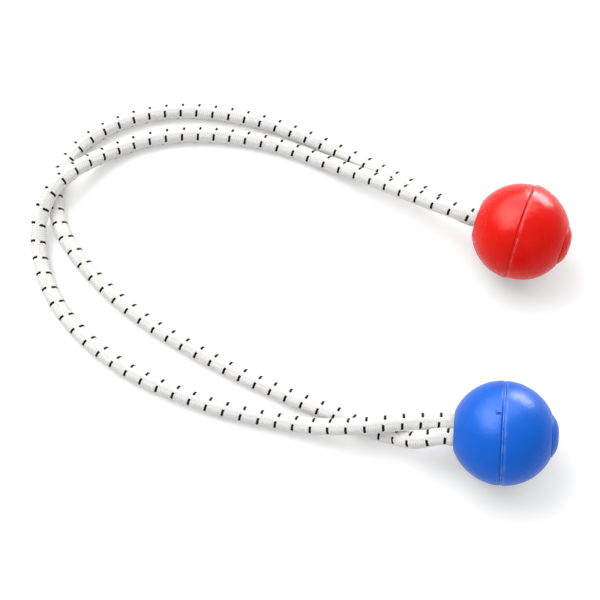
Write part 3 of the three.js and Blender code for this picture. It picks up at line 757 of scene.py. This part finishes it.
for ball in BALLS:
    rounding = (MOUTH_RADIUS + MOUTH_ROUNDING,
                -math.sqrt((BALL_RADIUS - MOUTH_ROUNDING)**2 - (MOUTH_RADIUS + MOUTH_ROUNDING)**2))
    mouth_angle = math.atan2(rounding[1], rounding[0])
    outline = [
        *reversed(seam_dip(ball, -1)),
        *arc((0, 0), BALL_RADIUS, -BARE_ANGLES[ball], mouth_angle, 44)[1:],
        *arc(rounding, MOUTH_ROUNDING, mouth_angle, -math.pi, 14)[1:],
        (MOUTH_RADIUS, -SHOULDER_DEPTH),
        (WELL_RADIUS, -SHOULDER_DEPTH),
        (WELL_RADIUS, -SEAM),
        (SLEEVE_RADIUS, -SEAM),
        *arc((0, 0), HOLLOW_RADIUS, -SLEEVE_ROOT, -math.asin(SEAM / HOLLOW_RADIUS), 20),
        (HOLLOW_RADIUS, LIP_HEIGHT),
        (HOLLOW_RADIUS + LIP_WALL, LIP_HEIGHT),
        (HOLLOW_RADIUS + LIP_WALL, -SEAM),
    ]
    shell = turned(f"{ball}_front_half", outline)
    uneven(shell.data, SEEDS[ball]["front"])
    ribbed(shell, -1, SEAM + RIB_SETBACK, PLASTICS[ball])
    for stroke in GATE_STROKES:
        dip = turned("dip", round_outline(1, 8), sides=16)
        place = Matrix.Rotation(math.radians(GATE_ANGLES[ball] + stroke["turn"]), 4, "X")
        place = place @ Matrix.Translation((stroke["along"], BALL_RADIUS, 0))
        dip.data.transform(place @ Matrix.Diagonal((*stroke["size"], 1)))
        combine(shell, dip, "DIFFERENCE")
    mark_seam_shade_and_highlight(shell.data, ball)
    moulded(shell, ball, f"{ball}_ball")
    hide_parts(f"{ball}_front_shell")


# Rear shells: the other half balls, from the same plastic, with the well for the cap, a groove that its
# skirt snaps into, six ribs and a rebate over the front shell's lip.
REBATE_DEPTH = LIP_HEIGHT + SEAM_CLEARANCE
SNAP_PLACE, SNAP_WIDTH, SNAP_HEIGHT = 0.01137, 0.0014, 0.00035
WELL_EDGE_ROUNDING = 0.00025
SKIN_DEPTH, SHIFT_FADES = 0.0008, 0.0105


def misfit(mesh, shift):
    """The red halves were welded a little off each other: the rear one's skin stands aside at the seam."""
    for vertex in mesh.vertices:
        if vertex.co.length > BALL_RADIUS - SKIN_DEPTH:
            share = min(max(vertex.co.x / SHIFT_FADES, 0), 1)
            vertex.co += Vector(shift) * (1 - share**2 * (3 - 2 * share))


for ball in BALLS:
    edge = (WELL_RADIUS + WELL_EDGE_ROUNDING,
            math.sqrt((BALL_RADIUS - WELL_EDGE_ROUNDING)**2 - (WELL_RADIUS + WELL_EDGE_ROUNDING)**2))
    edge_angle = math.atan2(edge[1], edge[0])
    outline = [
        *reversed(seam_dip(ball, 1)),
        *arc((0, 0), BALL_RADIUS, BARE_ANGLES[ball], edge_angle, 44)[1:],
        *arc(edge, WELL_EDGE_ROUNDING, edge_angle, math.pi, 6)[1:],
        (WELL_RADIUS, SNAP_PLACE + SNAP_WIDTH / 2 + SNAP_HEIGHT),
        (WELL_RADIUS + SNAP_HEIGHT, SNAP_PLACE + SNAP_WIDTH / 2),
        (WELL_RADIUS + SNAP_HEIGHT, SNAP_PLACE - SNAP_WIDTH / 2),
        (WELL_RADIUS, SNAP_PLACE - SNAP_WIDTH / 2 - SNAP_HEIGHT),
        (WELL_RADIUS, SEAM),
        (SLEEVE_RADIUS, SEAM),
        *arc((0, 0), HOLLOW_RADIUS, SLEEVE_ROOT, math.asin(REBATE_DEPTH / HOLLOW_RADIUS), 20),
        (HOLLOW_RADIUS + LIP_WALL + SEAM_CLEARANCE, REBATE_DEPTH),
        (HOLLOW_RADIUS + LIP_WALL + SEAM_CLEARANCE, SEAM),
    ]
    shell = turned(f"{ball}_rear_half", outline)
    uneven(shell.data, SEEDS[ball]["rear"])
    ribbed(shell, 1, REBATE_DEPTH + RIB_SETBACK, PLASTICS[ball])
    mark_seam_shade_and_highlight(shell.data, ball)
    misfit(shell.data, SEAMS[ball]["shift"])
    moulded(shell, ball, f"{ball}_ball")
    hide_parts(f"{ball}_rear_shell")


# Weld beads: the halves are spun together until their rims melt, and the melt stands between two shallow
# grooves as an uneven bead right round the ball.
BEAD_SECTION_STEPS = 10
BEAD_SIDES = 288
BEAD_SINK, BEAD_SINK_SCALE = 0.00026, 420
BEAD_WANDER, BEAD_WANDER_SCALE = 0.00018, 260

for ball in BALLS:
    low = BALL_RADIUS - DIP_DEPTH - BEAD_ROOT + BEAD_GAP
    half = SEAMS[ball]["bead"] - BEAD_GAP
    shoulder = BALL_RADIUS - DIP_DEPTH
    crest = [(shoulder + (DIP_DEPTH - SEAMS[ball]["low"]) * math.sin(a), half * math.cos(a))
             for a in np.linspace(0, math.pi, BEAD_SECTION_STEPS + 1)]
    bead = turned(f"{ball}_weld_bead", [(low, half), *crest, (low, -half)], sides=BEAD_SIDES)
    seed = Vector((0, 0, SEEDS[ball]["bead"]))
    for vertex in bead.data.vertices:
        across = vertex.co * Vector((0, 1, 1))
        raised = max(across.length - shoulder, 0) / DIP_DEPTH
        vertex.co += Vector(SEAMS[ball]["shift"]) * raised / 2
        sink = 0.5 + 0.5 * noise.noise(across * BEAD_SINK_SCALE + seed)
        wander = noise.noise(across * BEAD_WANDER_SCALE - seed)
        vertex.co -= across.normalized() * raised * sink * BEAD_SINK
        vertex.co.x += raised * wander * BEAD_WANDER
    mark_seam_shade_and_highlight(bead.data, ball)
    moulded(bead, ball, f"{ball}_ball")


# End caps: a domed plug each, with a small flat at its crown and a slotted skirt. It snaps into the rear
# shell's well and keeps the ferrule on its shoulder. Its rim stands a little proud of the ball.
CAP_CLEARANCE = 0.0002
CAP_RADIUS = WELL_RADIUS - CAP_CLEARANCE
RIM_STANDS, CROWN_STANDS = 0.00015, 0.0006
CAP_RIM = math.sqrt(BALL_RADIUS**2 - CAP_RADIUS**2) + RIM_STANDS
CAP_CROWN = BALL_RADIUS + CROWN_STANDS
CAP_DOME_POWER = 3
CAP_FLAT_RADIUS = 0.0015
CAP_EDGE_ROUNDING, CAP_EDGE_TURN = 0.00025, math.radians(54)
CAP_DISC, CAP_SKIRT_WALL = 0.0018, 0.0007
SKIRT_END = 0.0026
SLOT_COUNT, SLOT_WIDTH, SLOT_LENGTH, SLOT_OVERRUN = 4, 0.0012, 0.006, 0.0005
CAP_FLAT_STEP = 0.00004

for ball in BALLS:
    edge_radius = CAP_RADIUS - CAP_EDGE_ROUNDING
    dome = [(radius, CAP_CROWN - (CAP_CROWN - CAP_RIM) * (radius / edge_radius)**CAP_DOME_POWER)
            for radius in np.linspace(CAP_FLAT_RADIUS, edge_radius, 21)]
    flat = dome[0][1] - CAP_FLAT_STEP
    snap_top = SNAP_PLACE + SNAP_WIDTH / 2 - SEAM_CLEARANCE
    snap_bottom = SNAP_PLACE - SNAP_WIDTH / 2 + SEAM_CLEARANCE
    outline = [
        (0, CAP_RIM - CAP_DISC),
        (CAP_RADIUS - CAP_SKIRT_WALL, CAP_RIM - CAP_DISC),
        (CAP_RADIUS - CAP_SKIRT_WALL, SKIRT_END),
        (CAP_RADIUS, SKIRT_END),
        (CAP_RADIUS, snap_bottom - SNAP_HEIGHT),
        (CAP_RADIUS + SNAP_HEIGHT, snap_bottom),
        (CAP_RADIUS + SNAP_HEIGHT, snap_top),
        (CAP_RADIUS, snap_top + SNAP_HEIGHT),
        *arc((edge_radius, CAP_RIM - CAP_EDGE_ROUNDING), CAP_EDGE_ROUNDING, 0, CAP_EDGE_TURN, 8),
        *reversed(dome[:-1]),
        (CAP_FLAT_RADIUS - CAP_FLAT_STEP, flat),
        (0, flat),
    ]
    cap = turned(f"{ball}_snap_cap", outline)
    slots = ring_of_boxes(
        "slots", SLOT_COUNT, 0.5, (SLOT_LENGTH + SLOT_OVERRUN, WELL_RADIUS, SLOT_WIDTH),
        (SKIRT_END + (SLOT_LENGTH - SLOT_OVERRUN) / 2, (WELL_RADIUS + CAP_RADIUS - CAP_SKIRT_WALL) / 2, 0),
        PLASTICS[ball])
    combine(cap, slots, "DIFFERENCE")
    moulded(cap, ball, f"{ball}_ball")
    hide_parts(f"{ball}_end_cap")


# Ferrules: a strip of zinc-plated steel each, pressed round both strands in a figure of eight. They sit
# on the front shell's shoulder, inside the ball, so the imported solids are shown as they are.
ZINC_DARK, ZINC_PALE = (0.55, 0.56, 0.58, 1), (0.68, 0.69, 0.7, 1)


def ferrule_material():
    material, tree, shader = principled("zinc_plated_steel")
    place = own_place(tree)
    crystals = add_node(tree, "ShaderNodeTexVoronoi", {"Vector": place, "Scale": 700}).outputs["Color"]
    drawn = add_node(tree, "ShaderNodeMapping", {"Vector": place, "Scale": (300, 3200, 3200)}).outputs[0]
    lines = grain(tree, drawn, 1.0, 3)
    tree.links.new(mixed(tree, crystals, ZINC_DARK, ZINC_PALE), shader.inputs["Base Color"])
    tree.links.new(maths(tree, "ADD", 0.24, maths(tree, "MULTIPLY", lines, 0.25)), shader.inputs["Roughness"])
    tree.links.new(bumped(tree, 0.3, 0.00004, lines), shader.inputs["Normal"])
    shader.inputs["Metallic"].default_value = 1
    return material


PLATED_STEEL = ferrule_material()
for ball in BALLS:
    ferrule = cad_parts[f"{ball}_ferrule"]
    ferrule.data.materials.clear()
    ferrule.data.materials.append(PLATED_STEEL)


# Core ends: the bare latex bundle that stands a little out of each cut sheath, inside the ball, where the
# cord was cut to length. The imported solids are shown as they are.
for ball in BALLS:
    for strand_name in STRANDS:
        core_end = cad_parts[f"{ball}_{strand_name}_core_end"]
        core_end.data.materials.clear()
        core_end.data.materials.append(LATEX)


# The table: a plain white sheet that keeps the soft shadows. It shows paler to the camera than it lights the
# balls, as in an overexposed photograph, and fades into the white room further out.
FLOOR_HALF = 1.6
FLOOR_SHADE, FLOOR_SEEN_SHADE = (0.72, 0.72, 0.72, 1), (0.95, 0.95, 0.95, 1)
FLOOR_LIFT, FLOOR_FADES = 0.2, (0.35, 1.1)


def seen_ray(tree):
    """1 for what the camera, a mirror or glass sees, 0 for light that bounces."""
    path = add_node(tree, "ShaderNodeLightPath").outputs
    seen = maths(tree, "MAXIMUM", path["Is Camera Ray"], path["Is Glossy Ray"])
    return maths(tree, "MAXIMUM", seen, path["Is Transmission Ray"])


sheet_mesh = bpy.data.meshes.new("table")
corners = [(x * FLOOR_HALF, y * FLOOR_HALF, 0) for x, y in ((-1, -1), (1, -1), (1, 1), (-1, 1))]
sheet_mesh.from_pydata(corners, [], [(0, 1, 2, 3)])
table = bpy.data.objects.new("table", sheet_mesh)
bpy.context.scene.collection.objects.link(table)
paint, paint_tree, paint_shader = principled("white_sheet")
seen = seen_ray(paint_tree)
shade = mixed(paint_tree, seen, FLOOR_SHADE, FLOOR_SEEN_SHADE)
paint_tree.links.new(shade, paint_shader.inputs["Base Color"])
paint_shader.inputs["Roughness"].default_value = 0.8
paint_shader.inputs["Specular IOR Level"].default_value = 0.2
paint_shader.inputs["Emission Color"].default_value = (1, 1, 1, 1)
away = vectors(paint_tree, "LENGTH", own_place(paint_tree))
lift = add_node(paint_tree, "ShaderNodeMapRange", {
    0: away, 1: FLOOR_FADES[0], 2: FLOOR_FADES[1], 3: FLOOR_LIFT, 4: 1.0},
    interpolation_type="SMOOTHSTEP").outputs[0]
paint_tree.links.new(maths(paint_tree, "MULTIPLY", seen, lift), paint_shader.inputs["Emission Strength"])
sheet_mesh.materials.append(paint)


# Light: a large softbox above and behind to the left, a low one behind to the right and a weak one in front,
# in a pale room. Three cards only show in the balls' gloss, as the spot and the broad sheen above the middle.
SOFTBOXES = {
    "overhead_softbox": {"from": (-0.455, 0.37, 0.8), "far": 1.0, "size": (0.8, 0.65), "watts": 5.2},
    "low_softbox": {"from": (0.56, 0.78, 0.27), "far": 0.9, "size": (0.48, 0.3), "watts": 1.8},
    "front_softbox": {"from": (0.1, -0.75, 0.65), "far": 1.2, "size": (0.9, 0.6), "watts": 2.4},
}
GLOSS_CARDS = {
    "glint_card": {"from": (0.56, 0.78, 0.27), "far": 0.95, "size": (0.58, 0.36), "watts": 23},
    "sheen_card": {"from": (-0.25, 0.56, 0.78), "far": 1.0, "size": (1.9, 1.2), "watts": 62},
    "roof_card": {"from": (-0.46, 0.15, 0.87), "far": 1.0, "size": (0.9, 0.8), "watts": 16},
}
AIM = Vector((-0.07, 0.02, 0.01))
ROOM_LOW, ROOM_HIGH = (0.26, 0.26, 0.26, 1), (0.95, 0.95, 0.95, 1)
ROOM_SEEN = (1, 1, 1, 1)
ROOM_BRIGHT_SIDE = (-0.15, 0.42, 0.9)
ROOM_SPREAD = (0.3, 1.0)

for name, box in (SOFTBOXES | GLOSS_CARDS).items():
    lamp = bpy.data.lights.new(name, "AREA")
    lamp.shape = "RECTANGLE"
    lamp.size, lamp.size_y = box["size"]
    lamp.energy = box["watts"]
    light = bpy.data.objects.new(name, lamp)
    way = Vector(box["from"]).normalized()
    light.location = AIM + way * box["far"]
    light.rotation_euler = way.to_track_quat("Z", "Y").to_euler()
    light.visible_diffuse = name in SOFTBOXES
    light.visible_glossy = name in GLOSS_CARDS
    bpy.context.scene.collection.objects.link(light)

room = bpy.data.worlds.new("room")
room.use_nodes = True
room_tree = room.node_tree
background = next(node for node in room_tree.nodes if node.type == "BACKGROUND")
ray = add_node(room_tree, "ShaderNodeTexCoord").outputs["Generated"]
facing = vectors(room_tree, "DOT_PRODUCT", ray, Vector(ROOM_BRIGHT_SIDE).normalized())
facing = add_node(room_tree, "ShaderNodeMapRange", {0: facing, 1: ROOM_SPREAD[0], 2: ROOM_SPREAD[1]},
                  interpolation_type="SMOOTHSTEP").outputs[0]
walls = mixed(room_tree, facing, ROOM_LOW, ROOM_HIGH)
shown = mixed(room_tree, seen_ray(room_tree), walls, ROOM_SEEN)
room_tree.links.new(shown, background.inputs["Color"])
bpy.context.scene.world = room
